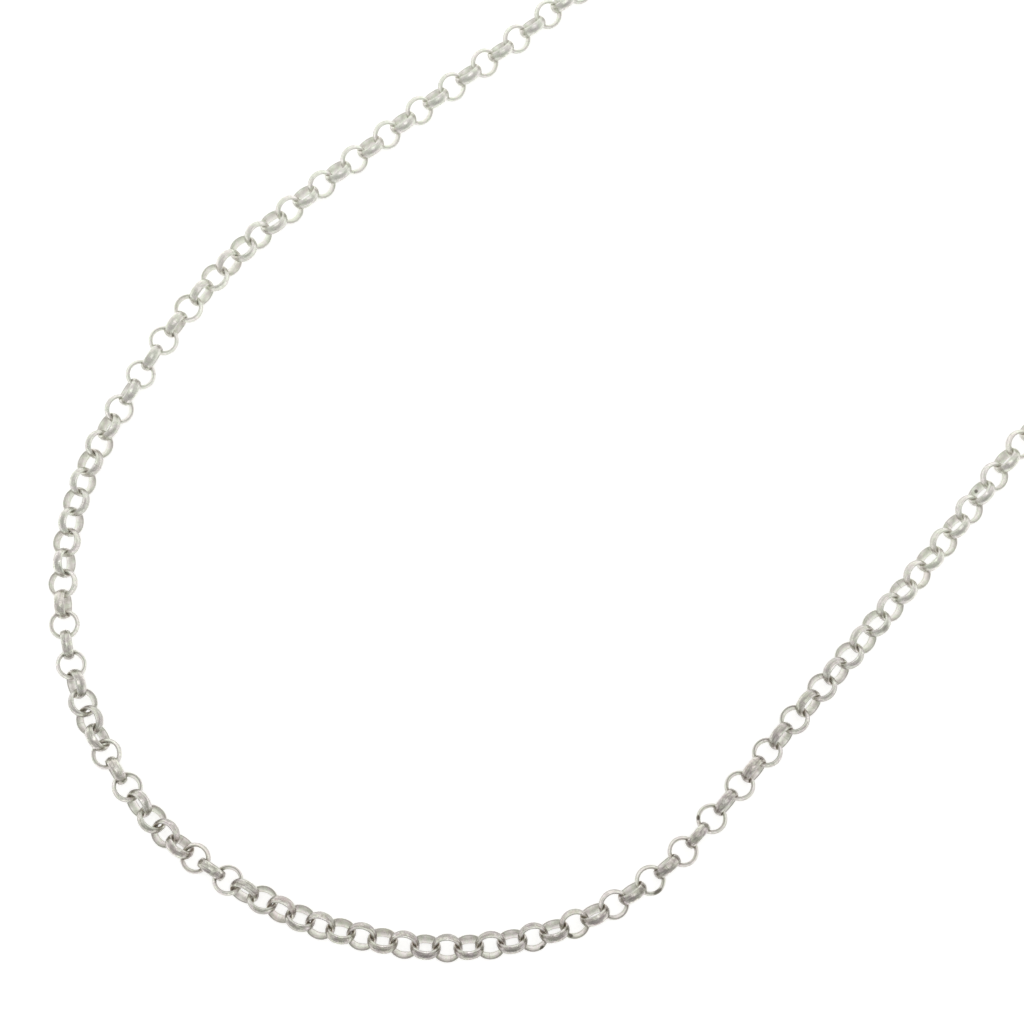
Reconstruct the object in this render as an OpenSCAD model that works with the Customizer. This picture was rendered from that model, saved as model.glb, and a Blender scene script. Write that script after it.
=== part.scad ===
// Rolo chain necklace: round links of half-round wire, laid on a table as a loop
// and closed at the back by a plain spring-ring clasp. Millimetres, +Z up.
// The origin is the centre of the loop's box, on the surface that it lies on.
// +Y runs from the front of the loop to the clasp.

/* [Link] */
// Outer diameter of a link
link_d = 3; // [2.6:0.1:4]
// Radial thickness of the wire
wire_t = 0.38; // [0.32:0.01:0.42]
// Width of the wire, along the link's axis
wire_w = 1; // [0.8:0.05:1.2]
// Fall of the wire's outer face towards its edges, as a share of its thickness
crown_fall = 0.5; // [0.3:0.05:0.55]
// Opening of the bore towards its edges, as a share of the wire's thickness
bore_flare = 0.37; // [0.25:0.01:0.4]
// Clear gap between links that hang in each other
link_gap = 0.12; // [0.1:0.01:0.2]

/* [Clasp] */
// Outer diameter of the clasp's ring
ring_d = 6.5; // [5.5:0.5:9]
// Wire diameter of the ring
ring_wire = 1.1; // [0.8:0.1:1.4]
// Outer diameter of the clasp's eye
eye_d = 3.2; // [2.8:0.1:4]
// Wire diameter of the eye
eye_wire = 0.7; // [0.5:0.1:0.9]
// Diameter of the thumb knob
knob_d = 1; // [0.6:0.1:1.4]
// Height of the knob above the ring's wire
knob_rise = 0.7; // [0.4:0.1:1.2]
// Clear gap between the clasp and the links that hang in it
clasp_gap = 0.18; // [0.12:0.01:0.25]
// Place of the knob round the ring, from the chain's right end, degrees
knob_turn = 50; // [40:5:140]

/* [Hidden] */

// Points on the chain's line, from the clasp down the left arm, round the front
// and back up the right arm:
// [x, y, lean of every other link towards the inside of the loop in degrees,
//  slack as the share by which the links are pushed together]
ROUTE = [
    [-18.2, 137.2, 85, 0.03],
    [-25.6, 131.6, 76, 0.025],
    [-30.4, 121, 62, 0.02],
    [-32.8, 107.5, 52, 0.01],
    [-33.8, 93, 46, 0],
    [-34.6, 79, 42, 0],
    [-35.6, 64, 38, 0],
    [-36.3, 48.3, 35, 0],
    [-36.7, 33.5, 32, 0],
    [-37.7, 18.7, 38, 0],
    [-38.4, 3.9, 47, 0.005],
    [-38.2, -3.9, 66, 0.005],
    [-36.8, -12.5, 92, 0],
    [-34.5, -20.5, 117, 0.013],
    [-31.5, -28.2, 144, 0.02],
    [-26.8, -35, 156, 0.01],
    [-20.7, -40.3, 182, 0.015],
    [-13.7, -43.8, 221, 0.04],
    [-6.2, -45.6, 284, 0.03],
    [1.5, -45.9, 327, 0.05],
    [9.1, -44.2, 379, 0.045],
    [12.4, -43.0, 399, 0.045],
    [18, -40.4, 411, 0.04],
    [26, -34.4, 413, 0.035],
    [31.2, -27.8, 415, 0.025],
    [34.5, -20.5, 427, 0.01],
    [35.8, -12.3, 445, 0.005],
    [35.1, -3.9, 461, 0.005],
    [33.8, 6.4, 477, 0.005],
    [32.6, 16.8, 496, 0.005],
    [31, 29.3, 509, 0],
    [29, 41.8, 518, 0],
    [27.2, 57, 524, 0],
    [25.6, 71, 530, 0],
    [24.4, 84, 536, 0],
    [23.4, 96, 544, 0],
    [22.2, 107.5, 560, 0.01],
    [19.8, 121, 582, 0.02],
    [15, 131.6, 606, 0.025],
    [7.6, 137.2, 624, 0.035],
];
// Middle of the clasp, between the chain's two ends
CLASP_AT = [-3.5, 139];
// Lean of the links that hang in the clasp: they stand on edge
END_LEAN = [90, 630];
// Slack of the links next to the clasp
END_SLACK = 0.04;
// Points taken on the line between two points of the route
STEPS = 12;
// Room for the corners of two twisted links, which meet at a slant, as a share of the gap
CORNER_ROOM = 1.5;
// Corners of the wire's outer and inner face, as shares of half its width
CROWN_AT = [-1, -0.5, 0, 0.5, 1];
BORE_AT = [1, 0, -1];

link_r = link_d / 2;
bore_r = link_r - wire_t;
half_w = wire_w / 2;
// Inner radius of the link at the two edges of its band
bore_edge_r = bore_r + bore_flare * wire_t;
// The wire's section: [radius, height above the middle of the link]
SECTION = concat(
    [for (s = CROWN_AT) [link_r - crown_fall * wire_t * s ^ 2, s * half_w]],
    [for (s = BORE_AT) [bore_r + bore_flare * wire_t * s ^ 2, s * half_w]]);

ring_mid_r = (ring_d - ring_wire) / 2;
eye_mid_r = (eye_d - eye_wire) / 2;
eye_x = -ring_mid_r - eye_mid_r;

// Reach from the middle of a round hole to the middle of the link that hangs in it
function hang(hole_r) = min(hole_r + bore_r, sqrt(hole_r ^ 2 - half_w ^ 2) + bore_edge_r) - clasp_gap;
ring_reach = hang(ring_mid_r - ring_wire / 2);
eye_reach = hang(eye_mid_r - eye_wire / 2) - eye_x;

// Distance between two links that hang in each other, taut, for the twist between them beyond
// a right angle: the corners of the two bands meet further round each bore as they twist
function pitch(twist) = min(
    bore_edge_r + sqrt(bore_r ^ 2 - half_w ^ 2) - link_gap,
    2 * sqrt(bore_edge_r ^ 2 - (half_w * tan(45 + twist / 2)) ^ 2) - CORNER_ROOM * link_gap);
pitch_0 = pitch(0);

// Reach of a link from its middle, in a direction that is turned by an angle from its axis
function reach(angle) = max([for (p = SECTION) p[0] * abs(sin(angle)) + p[1] * abs(cos(angle))]);
// Height of the middle of a link, at a lean, where it or its neighbour stands on the surface
function height(lean) = max(reach(lean), reach(lean + 90));

// Smooth line through the points, with both ends running straight into the clasp
function spline(a, b, c, d, t) =
    b + t / 2 * (c - a + t * (2 * a - 5 * b + 4 * c - d + t * (3 * (b - c) + d - a)));
function mirrored(p, x) = [2 * x - p[0], p[1], p[2], p[3]];
first = [CLASP_AT[0] - eye_reach, CLASP_AT[1], END_LEAN[0], END_SLACK];
last = [CLASP_AT[0] + ring_reach, CLASP_AT[1], END_LEAN[1], END_SLACK];
knots = concat(
    [mirrored(ROUTE[0], first[0]), first], ROUTE, [last, mirrored(ROUTE[len(ROUTE) - 1], last[0])]);
line = [
    for (i = [1:len(knots) - 3], j = [0:STEPS - 1])
        spline(knots[i - 1], knots[i], knots[i + 1], knots[i + 2], j / STEPS),
    last
];

// Number of links up to each point of the line, closer together where the line twists
function run(i) = norm([line[i + 1][0] - line[i][0], line[i + 1][1] - line[i][1]]);
function twist(i) = abs(line[i + 1][2] - line[i][2]) * pitch_0 / run(i);
function stride(i) = i >= len(line) - 1 ? 0 : run(i) / (pitch(twist(i)) * (1 - line[i][3]));
count_at = [for (i = 0, n = 0; i < len(line); n = n + stride(i), i = i + 1) n];
span = count_at[len(line) - 1];
// Each table starts and ends one link inside the clasp, straight on from the chain's end
x_at = concat(
    [[-1, first[0] + pitch_0]],
    [for (i = [0:len(line) - 1]) [count_at[i], line[i][0]]],
    [[span + 1, last[0] - pitch_0]]);
y_at = concat(
    [[-1, first[1]]],
    [for (i = [0:len(line) - 1]) [count_at[i], line[i][1]]],
    [[span + 1, last[1]]]);
lean_at = [for (i = [0:len(line) - 1]) [count_at[i], line[i][2]]];

// An odd number of links, so that both end links stand on edge in the clasp
links = 2 * ceil(span / 2) + 1;
function place(k) = let (n = k * span / (links - 1)) [lookup(n, x_at), lookup(n, y_at)];
function heading(k) = let (d = place(k + 0.5) - place(k - 0.5)) atan2(d[1], d[0]);
function lean(k) = lookup(k * span / (links - 1), lean_at);

// One row for each link: [x, y, z, heading, lean]
LINKS = [
    for (k = [0:links - 1])
        let (p = place(k)) [p[0], p[1], height(lean(k)), heading(k), lean(k) + (k % 2) * 90]
];

// Half of a link's size along a direction in the plane
function half_size(link, turn) = reach(acos(abs(sin(link[4]) * sin(link[3] - turn))));
// Corners of the box round the links, with the clasp's ring at the back
low = [
    min([for (l = LINKS) l[0] - half_size(l, 0)]), min([for (l = LINKS) l[1] - half_size(l, 90)])];
high = [
    max([for (l = LINKS) l[0] + half_size(l, 0)]),
    max(CLASP_AT[1] + ring_d / 2, max([for (l = LINKS) l[1] + half_size(l, 90)]))];
centre = (low + high) / 2;

module link() {
    rotate_extrude($fn = 64) polygon(SECTION);
}

module chain() {
    color("silver")
        translate([-centre[0], -centre[1], 0])
            for (l = LINKS)
                translate([l[0], l[1], l[2]]) rotate([0, 0, l[3]]) rotate([-l[4], 0, 0]) link();
}

module hoop(mid_r, wire) {
    rotate_extrude($fn = 96) translate([mid_r, 0]) circle(d = wire, $fn = 32);
}

module clasp() {
    color("gainsboro")
        translate([CLASP_AT[0] - centre[0], CLASP_AT[1] - centre[1], height(END_LEAN[0])]) {
            hoop(ring_mid_r, ring_wire);
            translate([eye_x, 0, 0]) hoop(eye_mid_r, eye_wire);
            rotate([0, 0, knob_turn])
                translate([ring_mid_r, 0, 0])
                    cylinder(h = ring_wire / 2 + knob_rise, d = knob_d, $fn = 32);
        }
}

chain();
clasp();
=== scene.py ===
"""Looks of the rolo chain: one smooth silver link at each packed link's place, and its clasp.

Every link is one ring of half-round wire. Its place, its axis and its size come from the packed
chain node, so the links follow the part. Distances are metres, and material distances millimetres.
Links are numbered from 0 along the chain, from the one in the clasp's eye.
"""

import math

import bpy
import numpy as np
from mathutils import Matrix, Vector


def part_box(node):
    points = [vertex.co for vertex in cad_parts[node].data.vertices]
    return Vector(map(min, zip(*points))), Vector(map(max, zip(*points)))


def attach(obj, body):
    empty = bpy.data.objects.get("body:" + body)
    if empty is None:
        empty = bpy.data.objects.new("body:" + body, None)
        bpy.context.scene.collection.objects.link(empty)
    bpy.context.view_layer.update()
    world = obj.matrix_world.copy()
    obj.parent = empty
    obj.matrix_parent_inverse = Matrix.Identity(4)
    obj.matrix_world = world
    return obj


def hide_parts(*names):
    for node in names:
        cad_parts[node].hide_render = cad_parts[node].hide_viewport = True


MM = 0.001
SEED = 11

# ---------------------------------------------------------------- sizes and given values

# Half of the wire's section: [radius, height above the link's middle plane], as shares of the
# link's outer radius and of the wire's half width, from the crown round the edge to the bore
WIRE = [
    (1.000, 0.00),
    (0.974, 0.45),
    (0.929, 0.75),
    (0.893, 0.93),
    (0.866, 1.00),
    (0.843, 0.97),
    (0.819, 0.86),
    (0.769, 0.48),
    (0.747, 0.00),
]
SEGMENTS = 29
# How far the bore is filled, mm: all round, and at its edges where the next link hangs
FILL, EDGE_FILL = 0.04, 0.11
# Where the next link hangs: the cosine round the link at which that fill sets in, and its growth
HANG_FROM, HANG_GROWTH = 0.72, 0.2
# How far a link is out of round, as a share, and askew, in degrees
OUT_OF_ROUND, ASKEW = 0.006, 1.1
# The solder joint sits on a long side of the link: between these shares of half a turn from its end
SEAM_SPAN = (0.25, 0.75)

# The clasp, mm: outer and middle radius of its ring, radius of the ring's wire, height of its
# middle, which is a link's radius, and the place of its knob round the ring in degrees
RING_R, RING_MID_R, RING_WIRE_R, LINK_R, KNOB_TURN = 3.25, 2.7, 0.55, 1.5, 50

# Dark spots: [link, bearing of the spot from the link's middle, how steeply up it faces, radius mm,
# how dark, the first and last row of WIRE that it may sit on]
MARKS = [
    (125, 341, 40, 0.32, 0.85, 0, 8),
    (127, 297, 10, 0.36, 0.85, 7, 8),
    (130, 76, 62, 0.46, 0.50, 0, 8),
    (131, 355, 30, 0.62, 0.70, 0, 8),
    (135, 215, 45, 0.34, 0.90, 0, 8),
    (147, 358, 40, 0.50, 0.40, 0, 8),
    (155, 188, 10, 0.26, 0.70, 8, 8),
]

# Numbers of the links where the front's wear and the arms' painted light set in, and are full
WEAR_LEFT, WEAR_RIGHT = (114.0, 124.0), (150.0, 140.0)
LIT_ARMS_LEFT, LIT_ARMS_RIGHT = (120.0, 66.0), (137.0, 152.0)
# Radii between which the outside of the wire turns into the bore, mm
OUTSIDE_R, BORE_R = 1.34, 1.24
# Depth of the silver's relief, mm
LINK_BUMP, CLASP_BUMP = 0.05, 0.025

# Colours of the silver. Casts multiply the colour below them
TONES = dict(
    bore=(0.95, 0.94, 0.90),
    bore_dull=(0.82, 0.81, 0.755),
    # painted light and painted shade on the bore, by how it faces
    bore_painted_light=(1.0, 0.99, 0.955),
    bore_painted_shade=(0.68, 0.67, 0.62),
    # painted shade along the edges of the bore
    bore_edge_shade=(0.24, 0.23, 0.205),
    bright_pink=(0.98, 0.945, 0.93),
    bright_olive=(0.98, 0.975, 0.885),
    grey_pink=(0.72, 0.68, 0.675),
    grey_olive=(0.72, 0.715, 0.635),
    streak=(0.31, 0.28, 0.285),
    scuff=(0.40, 0.365, 0.355),
    worn=(0.42, 0.385, 0.375),
    # painted shade along the crest and a painted highlight on the wire's edges of leaning links
    crest_shade=(0.36, 0.34, 0.335),
    edge=(0.99, 0.985, 0.95),
    tint_pink=(0.72, 0.61, 0.56),
    tint_olive=(0.70, 0.70, 0.56),
    tarnish=(0.30, 0.24, 0.165),
    deep_tarnish=(0.25, 0.19, 0.125),
    scratch=(0.46, 0.44, 0.39),
    # painted shade on flanks that face sideways or down
    flank_shade=(0.31, 0.30, 0.275),
    # painted light on flat links and on both arms
    flat_link_light=(0.95, 0.94, 0.88),
    lit_arms=(0.98, 1.0, 0.93),
    cast_pink=(1.0, 0.965, 1.0),
    cast_olive=(0.965, 0.995, 0.955),
    seam=(0.30, 0.27, 0.23),
    mark=(0.12, 0.105, 0.075),
    clasp=(0.94, 0.935, 0.89),
    clasp_dull=(0.74, 0.73, 0.67),
    clasp_hairline=(0.48, 0.465, 0.43),
    # painted shade on the clasp's underside
    clasp_painted_shade=(0.34, 0.33, 0.30),
    clasp_joint=(0.13, 0.11, 0.08),
)

# The tent round the stage, from below to straight above, where the camera hangs: [height, colour]
TENT = [
    (0.0, (0.76, 0.755, 0.728)),
    (0.5, (0.71, 0.70645, 0.6816)),
    (0.82, (0.61, 0.60695, 0.5856)),
    (0.93, (0.52, 0.5174, 0.4992)),
    (1.0, (0.43, 0.43, 0.413)),
]
# How much brighter the tent is on its far side, as from a window beyond the top of the picture
FAR_SIDE = (-0.26, 0.234, 0.0)
FLOOR = dict(half_size=3.0, colour=0.8, roughness=0.7, glow=0.58)
LAMP = dict(at=(0.05, -0.02, 0.6), target=(0.0, -0.05, 0.0), size=0.5, power=0.46)
# The photo's view: what the camera looks at and how far off it is, mm, and the angles in degrees
CAMERA = dict(
    target=(1.24, -47.48, 0.0), distance=194.5, azimuth=48.0, elevation=79.0, focal_px=1950.0)
PICTURE_PX, SENSOR_MM = 1024, 36.0


# ---------------------------------------------------------------- reading the frame


def solids(mesh):
    """The mesh's points, joined where they coincide, and the number of the solid that each is in"""
    co = np.empty(len(mesh.vertices) * 3)
    mesh.vertices.foreach_get("co", co)
    points, same = np.unique(np.round(co.reshape(-1, 3), 7), axis=0, return_inverse=True)
    ends = np.empty(len(mesh.edges) * 2, int)
    mesh.edges.foreach_get("vertices", ends)
    pairs = same.reshape(-1)[ends].reshape(-1, 2)
    label = np.arange(len(points))
    while True:
        low = np.minimum(label[pairs[:, 0]], label[pairs[:, 1]])
        new = label.copy()
        np.minimum.at(new, pairs[:, 0], low)
        np.minimum.at(new, pairs[:, 1], low)
        new = new[new]
        if (new == label).all():
            return points, label
        label = new


def read_links(node, start):
    """Each link's middle and its three directions: along the chain, across it and the link's axis,
    then the links' radius and half width. The links are in order, from the one nearest start."""
    points, label = solids(node.data)
    found = [points[label == i] for i in np.unique(label)]
    middles = np.array([(p.max(0) + p.min(0)) / 2 for p in found])
    # a link's points spread least along its axis
    axes = np.array([np.linalg.svd(p - p.mean(0), full_matrices=False)[2][2] for p in found])
    order = [int(np.linalg.norm(middles - np.array(start), axis=1).argmin())]
    left = set(range(len(found))) - set(order)
    while left:
        here = middles[order[-1]]
        step = min(left, key=lambda i: float(np.linalg.norm(middles[i] - here)))
        order.append(step)
        left.remove(step)
    middles, axes = middles[order], axes[order]
    along = np.gradient(middles, axis=0)
    along -= axes * (along * axes).sum(1)[:, None]
    along /= np.linalg.norm(along, axis=1)[:, None]
    across = np.cross(axes, along)
    p = found[order[0]] - middles[0]
    half_width = np.abs(p @ axes[0]).max()
    radius = np.linalg.norm(p - np.outer(p @ axes[0], axes[0]), axis=1).max()
    return middles, along, across, axes, radius, half_width


def ring_faces(count, rim, rings):
    """Quads of rings of wire: count points round the ring and rim points round the wire"""
    i, j = np.meshgrid(np.arange(count), np.arange(rim), indexing="ij")
    a = i * rim + j
    b = (i + 1) % count * rim + j
    c = (i + 1) % count * rim + (j + 1) % rim
    d = i * rim + (j + 1) % rim
    one = np.stack([a, b, c, d], -1).reshape(-1, 4)
    return (one[None] + np.arange(rings)[:, None, None] * count * rim).reshape(-1, 4)


def add_mesh(name, points, faces, attributes, material):
    """A smooth mesh object, with its named vector and number attributes"""
    mesh = bpy.data.meshes.new(name)
    mesh.from_pydata([tuple(p) for p in points], [], [tuple(f) for f in faces])
    for key, values in attributes.items():
        values = np.asarray(values, np.float32)
        kind = "FLOAT_VECTOR" if values.ndim == 2 else "FLOAT"
        store = mesh.attributes.new(key, kind, "POINT")
        store.data.foreach_set("vector" if values.ndim == 2 else "value", values.reshape(-1))
    mesh.polygons.foreach_set("use_smooth", [True] * len(mesh.polygons))
    mesh.materials.append(material)
    mesh.update()
    piece = bpy.data.objects.new(name, mesh)
    bpy.context.scene.collection.objects.link(piece)
    return piece


# ---------------------------------------------------------------- materials


class Nodes:
    """Short calls for a material's nodes"""

    def __init__(self, name):
        self.material = bpy.data.materials.new(name)
        self.material.use_nodes = True
        self.tree = self.material.node_tree
        self.shader = self.tree.nodes["Principled BSDF"]

    def new(self, kind, **settings):
        node = self.tree.nodes.new(kind)
        for key, value in settings.items():
            setattr(node, key, value)
        return node

    def put(self, socket, value):
        if isinstance(value, bpy.types.NodeSocket):
            self.tree.links.new(value, socket)
        else:
            socket.default_value = value

    def math(self, operation, *values):
        node = self.new("ShaderNodeMath", operation=operation)
        for socket, value in zip(node.inputs, values):
            self.put(socket, value)
        return node.outputs[0]

    def times(self, first, *others):
        """The product of two or more values"""
        for other in others:
            first = self.math("MULTIPLY", first, other)
        return first

    def vector(self, operation, *values):
        node = self.new("ShaderNodeVectorMath", operation=operation)
        for socket, value in zip(node.inputs, values):
            self.put(socket, value)
        number = operation in ("LENGTH", "DISTANCE", "DOT_PRODUCT")
        return node.outputs["Value" if number else "Vector"]

    def number(self, name):
        return self.new("ShaderNodeAttribute", attribute_name=name).outputs["Fac"]

    def place(self, name):
        return self.new("ShaderNodeAttribute", attribute_name=name).outputs["Vector"]

    def split(self, value):
        node = self.new("ShaderNodeSeparateXYZ")
        self.put(node.inputs[0], value)
        return node.outputs

    def join(self, x, y, z):
        node = self.new("ShaderNodeCombineXYZ")
        for socket, value in zip(node.inputs, (x, y, z)):
            self.put(socket, value)
        return node.outputs[0]

    def facing_up(self):
        """How far the surface faces up: 1 straight up, 0 sideways and -1 straight down"""
        return self.split(self.new("ShaderNodeNewGeometry").outputs["Normal"])[2]

    def noise(self, at, scale, detail, rough, stretch=None, shift=None):
        """Noise of some 1 / scale mm, finer where the place is stretched more"""
        if stretch:
            at = self.vector("MULTIPLY", at, stretch)
        if shift:
            at = self.vector("ADD", at, shift)
        node = self.new("ShaderNodeTexNoise")
        self.put(node.inputs["Vector"], at)
        node.inputs["Scale"].default_value = scale
        node.inputs["Detail"].default_value = detail
        node.inputs["Roughness"].default_value = rough
        return node.outputs[0]

    def ramp(self, value, low, high, out_low=0.0, out_high=1.0):
        """A smooth step from out_low, where the value is low, to out_high, where it is high"""
        node = self.new("ShaderNodeMapRange", interpolation_type="SMOOTHSTEP")
        for key, v in zip(("Value", "From Min", "From Max", "To Min", "To Max"),
                          (value, low, high, out_low, out_high)):
            self.put(node.inputs[key], v)
        return node.outputs[0]

    def mix(self, share, a, b):
        """Colour a, with a share of colour b: each is a name in TONES or a socket"""
        node = self.new("ShaderNodeMix", data_type="RGBA")
        self.put(node.inputs["Factor"], share)
        self.put(node.inputs["A"], (*TONES[a], 1) if isinstance(a, str) else a)
        self.put(node.inputs["B"], (*TONES[b], 1) if isinstance(b, str) else b)
        return next(s for s in node.outputs if s.type == "RGBA")

    def finish(self, colour, roughness, height, depth):
        """Metal of this colour and roughness, with relief of this depth in mm"""
        self.put(self.shader.inputs["Base Color"], colour)
        self.shader.inputs["Metallic"].default_value = 1.0
        self.put(self.shader.inputs["Roughness"], roughness)
        bump = self.new("ShaderNodeBump")
        bump.inputs["Strength"].default_value = 1.0
        bump.inputs["Distance"].default_value = depth * MM
        self.put(bump.inputs["Height"], height)
        self.put(self.shader.inputs["Normal"], bump.outputs[0])
        return self.material


def silver(name):
    """Sterling silver of the links, scuffed along the wire, with tarnish where links hang, and painted
    light and shade on its flanks, edges, bore and arms
    """
    n = Nodes(name)
    local = n.place("wire")
    number = n.number("link")
    # how level the link lies: 1 flat on the surface, 0 on edge
    lying = n.number("lying")
    chance = n.new("ShaderNodeTexWhiteNoise", noise_dimensions="1D")
    n.put(chance.inputs["W"], number)
    each = n.split(chance.outputs["Color"])
    x, y, z = n.split(local)
    # each link takes its own stretch of the noises
    at = n.vector("ADD", local, n.join(0.0, 0.0, n.times(number, 7.3)))
    radius = n.vector("LENGTH", n.join(x, y, 0.0))
    inner = n.ramp(radius, OUTSIDE_R, BORE_R)
    outer = n.math("SUBTRACT", 1.0, inner)
    end = n.math("DIVIDE", n.math("ABSOLUTE", x), radius)
    width = n.math("ABSOLUTE", z)
    facing = n.facing_up()

    cloud = n.noise(at, 1.5, 4.0, 0.62)
    mottle = n.noise(at, 4.5, 3.0, 0.6)
    grain = n.noise(at, 16.0, 3.0, 0.65, stretch=(1.0, 1.0, 0.22))
    streak = n.noise(at, 1.0, 3.0, 0.6, stretch=(0.9, 0.9, 7.0))
    hue = n.ramp(n.noise(at, 0.9, 2.0, 0.5, shift=(3.1, 1.7, 5.2)), 0.4, 0.6)
    cast = n.ramp(n.noise(at, 1.7, 3.0, 0.6, shift=(9.1, 4.2, 1.3)), 0.42, 0.58)
    tone = n.math("ADD", n.times(cloud, 0.65), n.times(mottle, 0.35))

    # the bore is pale and even, with painted light where it faces the darker top of the tent, and
    # painted shade below on links that stand upright
    inside = n.mix(n.ramp(tone, 0.36, 0.64), "bore", "bore_dull")
    inside = n.mix(n.ramp(facing, 0.3, 0.75), inside, "bore_painted_light")
    inside = n.mix(n.times(n.ramp(facing, 0.5, 0.2), n.ramp(lying, 0.97, 0.85)), inside, "bore_painted_shade")

    # the outside is greyer and streaked along the wire, where it rubs, most of all at the front
    bright = n.mix(hue, "bright_pink", "bright_olive")
    grey = n.mix(hue, "grey_pink", "grey_olive")
    outside = n.mix(n.ramp(tone, 0.42, 0.58), bright, grey)
    outside = n.mix(n.ramp(streak, 0.48, 0.6, 0.0, 0.75), outside, "streak")
    outside = n.mix(n.ramp(mottle, 0.48, 0.62, 0.0, 0.5), outside, "scuff")
    wear = n.times(n.ramp(number, *WEAR_LEFT), n.ramp(number, *WEAR_RIGHT, 0.0, 0.3))
    outside = n.mix(wear, outside, "worn")

    # on links that lean, the crest of the wire gets painted shade, mottled along the wire, and its two
    # edges a painted highlight; painted shade lines the edges of the bore
    leaning = n.ramp(lying, 0.15, 0.55, 0.3, 1.0)
    crest_shade = n.times(n.ramp(width, 0.34, 0.06), n.ramp(streak, 0.36, 0.6, 0.4, 0.85),
                    n.ramp(lying, 0.97, 0.8, 0.4, 1.0), leaning)
    outside = n.mix(crest_shade, outside, "crest_shade")
    pale = n.mix(inner, outside, inside)
    pale = n.mix(n.times(n.ramp(width, 0.33, 0.46, 0.0, 0.8), outer, leaning), pale, "edge")
    # painted shade: a dark line along both edges of the bore
    darkening = n.times(n.ramp(width, 0.38, 0.45), n.ramp(lying, 0.8, 0.97, 0.6, 0.75), inner)
    pale = n.mix(darkening, pale, "bore_edge_shade")

    # each link has a little tint of its own
    tint = n.mix(n.ramp(each[1], 0.3, 0.7), "tint_pink", "tint_olive")
    share = n.times(n.ramp(each[0], 0.45, 1.0, 0.05, 0.5), n.ramp(cloud, 0.42, 0.62, 0.3, 1.0))
    colour = n.mix(share, pale, tint)

    # tarnish at both ends of each link, where its neighbours hang, and a little in the scratches
    hang = n.times(n.ramp(end, 0.72, 0.99), n.math("ADD", n.times(inner, 0.65), 0.35),
                   n.ramp(mottle, 0.3, 0.6, 0.35, 1.0))
    colour = n.mix(n.times(hang, 0.8), colour, "tarnish")
    deep = n.times(n.ramp(end, 0.8, 0.94), inner, n.ramp(mottle, 0.36, 0.56, 0.45, 1.0), 0.66)
    colour = n.mix(deep, colour, "deep_tarnish")
    colour = n.mix(n.ramp(grain, 0.52, 0.7, 0.0, 0.4), colour, "scratch")

    # painted shade: flanks that face sideways or down are darker, most of all on links that lie flat
    outer_share = n.times(n.ramp(lying, 0.3, 0.95, 0.6, 0.8), outer)
    inner_share = n.times(n.ramp(lying, 0.8, 0.98, 0.05, 0.6), inner)
    flank_shade = n.times(n.ramp(facing, 0.66, 0.38), n.ramp(mottle, 0.3, 0.65, 0.75, 1.0),
                    n.math("ADD", outer_share, inner_share))
    colour = n.mix(n.times(flank_shade, n.ramp(inner, 0.0, 1.0, 0.68, 0.7)), colour, "flank_shade")

    # painted light: links that lie flat are lighter, and so are both arms
    colour = n.mix(n.ramp(lying, 0.85, 0.98, 0.0, 0.22), colour, "flat_link_light")
    lit_arms = n.math("MAXIMUM", n.ramp(number, *LIT_ARMS_LEFT), n.ramp(number, *LIT_ARMS_RIGHT, 0.0, 0.75))
    lit_arms = n.times(lit_arms, n.ramp(flank_shade, 0.0, 0.9, 0.6, 0.3))
    colour = n.mix(lit_arms, colour, "lit_arms")

    # the metal's cast wanders between pink and olive
    colour = n.vector("MULTIPLY", colour, n.mix(cast, "cast_pink", "cast_olive"))

    # the solder joint: a fine line across the wire, at each link's own place
    off = n.math("ABSOLUTE", n.vector("DOT_PRODUCT", local, n.place("seam")))
    this_side = n.math("GREATER_THAN", n.vector("DOT_PRODUCT", local, n.place("seam_side")), 0.0)
    line = n.times(n.ramp(off, 0.05, 0.015), this_side)
    colour = n.mix(n.times(line, n.ramp(each[2], 0.2, 1.0, 0.05, 0.4)), colour, "seam")

    # marks on a few links: on the others their size and strength are none
    size = n.math("MAXIMUM", n.number("mark_size"), 0.001)
    gap = n.math("DIVIDE", n.vector("DISTANCE", local, n.place("mark")), size)
    ragged = n.math("ADD", gap, n.times(mottle, 0.6))
    spot = n.times(n.ramp(ragged, 1.3, 0.8), n.number("mark_dark"))
    colour = n.mix(spot, colour, "mark")

    rough = n.math("ADD", n.ramp(mottle, 0.3, 0.7, 0.16, 0.3), n.times(hang, 0.12))
    rough = n.math("ADD", rough, n.math("MAXIMUM", n.times(inner, 0.28), n.times(lit_arms, 0.16)))
    rough = n.math("ADD", rough, n.times(spot, 0.2))
    height = n.math("ADD", n.times(cloud, 1.2), n.times(mottle, 0.6))
    height = n.math("ADD", height, n.times(grain, 0.12))
    height = n.math("SUBTRACT", height, n.times(n.math("ADD", line, n.times(spot, 2.0)), 0.2))
    height = n.times(height, n.ramp(n.math("MAXIMUM", inner, lit_arms), 0.0, 1.0, 1.0, 0.5))
    return n.finish(colour, rough, height, LINK_BUMP)


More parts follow.
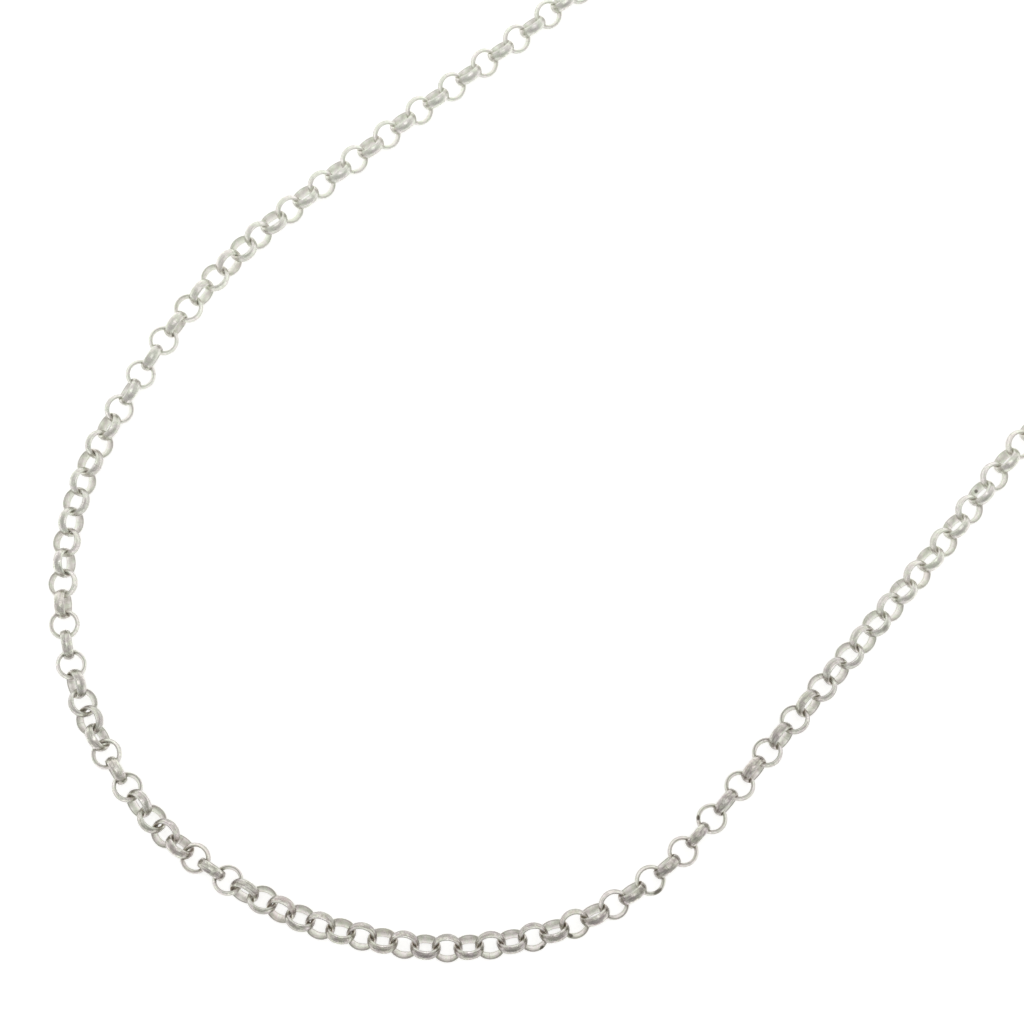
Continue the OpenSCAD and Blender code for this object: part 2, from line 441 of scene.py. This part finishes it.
def polished(name, joints):
    """Polished silver of the clasp, with hairlines, painted shade where it faces down, and tarnish at
    its joints: places in mm
    """
    n = Nodes(name)
    at = n.vector("MULTIPLY", n.new("ShaderNodeTexCoord").outputs["Object"], (1 / MM, 1 / MM, 1 / MM))
    cloud = n.noise(at, 0.7, 4.0, 0.6)
    mottle = n.noise(at, 3.2, 3.0, 0.6)
    hair = n.noise(at, 3.5, 3.0, 0.6, stretch=(1.0, 1.0, 8.0))
    colour = n.mix(n.ramp(cloud, 0.4, 0.64), "clasp", "clasp_dull")
    colour = n.mix(n.ramp(hair, 0.56, 0.7, 0.0, 0.4), colour, "clasp_hairline")
    # painted shade where the clasp faces down
    colour = n.mix(n.ramp(n.facing_up(), 0.4, -0.1, 0.0, 0.6), colour, "clasp_painted_shade")
    darkening = 0.0
    for place in joints:
        near = n.ramp(n.math("ADD", n.vector("DISTANCE", at, place), mottle), 1.5, 1.0)
        darkening = n.math("MAXIMUM", darkening, near)
    colour = n.mix(n.times(darkening, 0.75), colour, "clasp_joint")
    rough = n.math("ADD", n.ramp(mottle, 0.3, 0.7, 0.14, 0.26), n.times(darkening, 0.2))
    height = n.math("ADD", n.times(cloud, 0.8), n.times(hair, 0.35))
    return n.finish(colour, rough, height, CLASP_BUMP)


# ---------------------------------------------------------------- the chain


def one_link(section, thicker, fill, rng):
    """Points of one link about its own middle, and as it hangs: a little out of round and askew"""
    oval = rng.uniform(-OUT_OF_ROUND, OUT_OF_ROUND)
    # the third draw turns nothing: the link has its own start round the ring
    askew = np.radians(rng.uniform(-ASKEW, ASKEW, 3))
    start_at = rng.uniform(0, 2 * math.pi)
    turn = np.arange(SEGMENTS) * 2 * math.pi / SEGMENTS
    a = turn + start_at
    r = section[None, :, 0] * (1 + oval * np.cos(2 * (a - start_at)))[:, None]
    close = np.clip((np.abs(np.cos(a)) - HANG_FROM) / HANG_GROWTH, 0, 1)
    r -= thicker + (close ** 2 * (3 - 2 * close))[:, None] * fill
    flat = np.stack([
        np.cos(a)[:, None] * r,
        np.sin(a)[:, None] * r,
        np.broadcast_to(section[:, 1], r.shape)], -1).reshape(-1, 3)
    tilt = np.array(Matrix.Rotation(askew[0], 3, "X") @ Matrix.Rotation(askew[1], 3, "Y"))
    return flat, flat @ tilt.T


def make_chain(node, start, material):
    middles, along, across, axes, link_r, half_width = read_links(node, start)
    count = len(middles)
    rng = np.random.default_rng(SEED)
    half = np.array(WIRE)
    section = np.concatenate([half, half[-2:0:-1] * (1, -1)]) * (link_r, half_width)
    rim = len(section)
    each = SEGMENTS * rim
    # the wire is a little thicker than the part's, most of all where dirt closes the gap between links
    inner = section[:, 0] < 0.5 * (WIRE[0][0] + WIRE[-1][0]) * link_r
    thicker = inner * FILL * MM
    fill = inner * (EDGE_FILL - FILL) * (np.abs(section[:, 1]) / half_width) ** 2 * MM
    points, local = [], []
    for k in range(count):
        flat, hung = one_link(section, thicker, fill, rng)
        points.append(middles[k] + hung @ np.array([along[k], across[k], axes[k]]))
        local.append(flat / MM)

    # a mark sits on the point that reaches furthest towards its bearing
    row = np.tile(np.minimum(np.arange(rim), rim - np.arange(rim)), SEGMENTS)
    mark, mark_size, mark_dark = np.zeros((count, 3)), np.zeros(count), np.zeros(count)
    for k, bearing, rise, size, dark, first, last in MARKS:
        b, h = math.radians(bearing), math.radians(rise)
        towards = (math.cos(h) * math.cos(b), math.cos(h) * math.sin(b), math.sin(h))
        reach = np.where((row >= first) & (row <= last), points[k] @ towards, -1.0)
        mark[k], mark_size[k], mark_dark[k] = local[k][reach.argmax()], size, dark

    seam_at = rng.uniform(*SEAM_SPAN, count) * math.pi + math.pi * rng.integers(0, 2, count)
    seam = np.stack([-np.sin(seam_at), np.cos(seam_at), 0 * seam_at], 1)
    side = np.stack([np.cos(seam_at), np.sin(seam_at), 0 * seam_at], 1)
    attributes = {
        "wire": np.concatenate(local),
        "link": np.repeat(np.arange(count), each),
        "seam": np.repeat(seam, each, 0),
        "seam_side": np.repeat(side, each, 0),
        "lying": np.repeat(np.abs(axes[:, 2]), each),
        "mark": np.repeat(mark, each, 0),
        "mark_size": np.repeat(mark_size, each),
        "mark_dark": np.repeat(mark_dark, each),
    }
    faces = ring_faces(SEGMENTS, rim, count)
    return add_mesh("rolo_links", np.concatenate(points), faces, attributes, material)


# ---------------------------------------------------------------- stage, lights and camera


def make_floor():
    s = FLOOR["half_size"]
    mesh = bpy.data.meshes.new("floor")
    mesh.from_pydata([(-s, -s, 0), (s, -s, 0), (s, s, 0), (-s, s, 0)], [], [(0, 1, 2, 3)])
    floor = bpy.data.objects.new("floor", mesh)
    bpy.context.scene.collection.objects.link(floor)
    n = Nodes("floor_white")
    n.shader.inputs["Base Color"].default_value = (*[FLOOR["colour"]] * 3, 1)
    n.shader.inputs["Roughness"].default_value = FLOOR["roughness"]
    n.shader.inputs["Emission Color"].default_value = (1, 1, 1, 1)
    n.shader.inputs["Emission Strength"].default_value = FLOOR["glow"]
    mesh.materials.append(n.material)


def make_lamp():
    light = bpy.data.lights.new("overhead", "AREA")
    light.shape = "DISK"
    light.size = LAMP["size"]
    light.energy = LAMP["power"]
    lamp = bpy.data.objects.new("overhead", light)
    lamp.location = LAMP["at"]
    towards = Vector(LAMP["target"]) - Vector(LAMP["at"])
    lamp.rotation_euler = towards.to_track_quat("-Z", "Y").to_euler()
    bpy.context.scene.collection.objects.link(lamp)


def make_world():
    world = bpy.data.worlds.new("studio")
    bpy.context.scene.world = world
    world.use_nodes = True
    tree = world.node_tree
    back = tree.nodes["Background"]
    where = tree.nodes.new("ShaderNodeTexCoord")
    parts = tree.nodes.new("ShaderNodeSeparateXYZ")
    ramp = tree.nodes.new("ShaderNodeValToRGB")
    tree.links.new(where.outputs["Generated"], parts.inputs[0])
    tree.links.new(parts.outputs["Z"], ramp.inputs[0])
    tree.links.new(ramp.outputs[0], back.inputs[0])
    # a new ramp has two stops, at 0 and at 1, which are coloured before any is added between them
    stops = ramp.color_ramp.elements
    stops[0].color, stops[1].color = (*TENT[0][1], 1), (*TENT[-1][1], 1)
    for at, colour in TENT[1:-1]:
        stops.new(at).color = (*colour, 1)
    side = tree.nodes.new("ShaderNodeVectorMath")
    side.operation = "DOT_PRODUCT"
    side.inputs[1].default_value = FAR_SIDE
    more = tree.nodes.new("ShaderNodeMath")
    more.operation = "ADD"
    more.inputs[1].default_value = 1.0
    tree.links.new(where.outputs["Generated"], side.inputs[0])
    tree.links.new(side.outputs["Value"], more.inputs[0])
    tree.links.new(more.outputs[0], back.inputs[1])


def make_camera():
    azimuth, elevation = math.radians(CAMERA["azimuth"]), math.radians(CAMERA["elevation"])
    target = Vector(CAMERA["target"]) * MM
    forward = Vector((
        -math.sin(azimuth) * math.cos(elevation),
        math.cos(azimuth) * math.cos(elevation),
        -math.sin(elevation)))
    lens = bpy.data.cameras.new("camera")
    lens.sensor_width = SENSOR_MM
    lens.lens = CAMERA["focal_px"] / PICTURE_PX * SENSOR_MM
    lens.clip_start = 0.01
    lens.clip_end = 20.0
    camera = bpy.data.objects.new("camera", lens)
    camera.location = target - forward * CAMERA["distance"] * MM
    camera.rotation_euler = forward.to_track_quat("-Z", "Y").to_euler()
    bpy.context.scene.collection.objects.link(camera)
    bpy.context.scene.camera = camera


# ---------------------------------------------------------------- the scene

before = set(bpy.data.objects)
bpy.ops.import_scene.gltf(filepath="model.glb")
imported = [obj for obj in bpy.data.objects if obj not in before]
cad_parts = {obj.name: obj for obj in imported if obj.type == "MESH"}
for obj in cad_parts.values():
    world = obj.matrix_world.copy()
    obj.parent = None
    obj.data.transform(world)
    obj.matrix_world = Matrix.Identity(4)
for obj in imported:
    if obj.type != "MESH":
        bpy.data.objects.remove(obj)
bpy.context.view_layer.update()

links_silver = silver("links_silver")
clasp_low, clasp_high = (np.array(corner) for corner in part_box("clasp"))
clasp_y = (clasp_low[1] + clasp_high[1]) / 2
chain = make_chain(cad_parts["chain"], (clasp_low[0], clasp_y, LINK_R * MM), links_silver)
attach(chain, "root")
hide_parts("chain")

# the clasp keeps its form: its eye is soldered to the ring, and its knob stands on the ring
ring = np.array([clasp_high[0] / MM - RING_R, clasp_y / MM, LINK_R])
knob = math.radians(KNOB_TURN)
eye_joint = ring - (RING_MID_R, 0, 0)
knob_joint = ring + (RING_MID_R * math.cos(knob), RING_MID_R * math.sin(knob), RING_WIRE_R)
clasp_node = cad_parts["clasp"]
clasp_node.data.materials.clear()
clasp_node.data.materials.append(polished("clasp_polish", [tuple(eye_joint), tuple(knob_joint)]))

make_floor()
make_world()
make_lamp()
make_camera()
bpy.context.scene.view_settings.view_transform = "Standard"
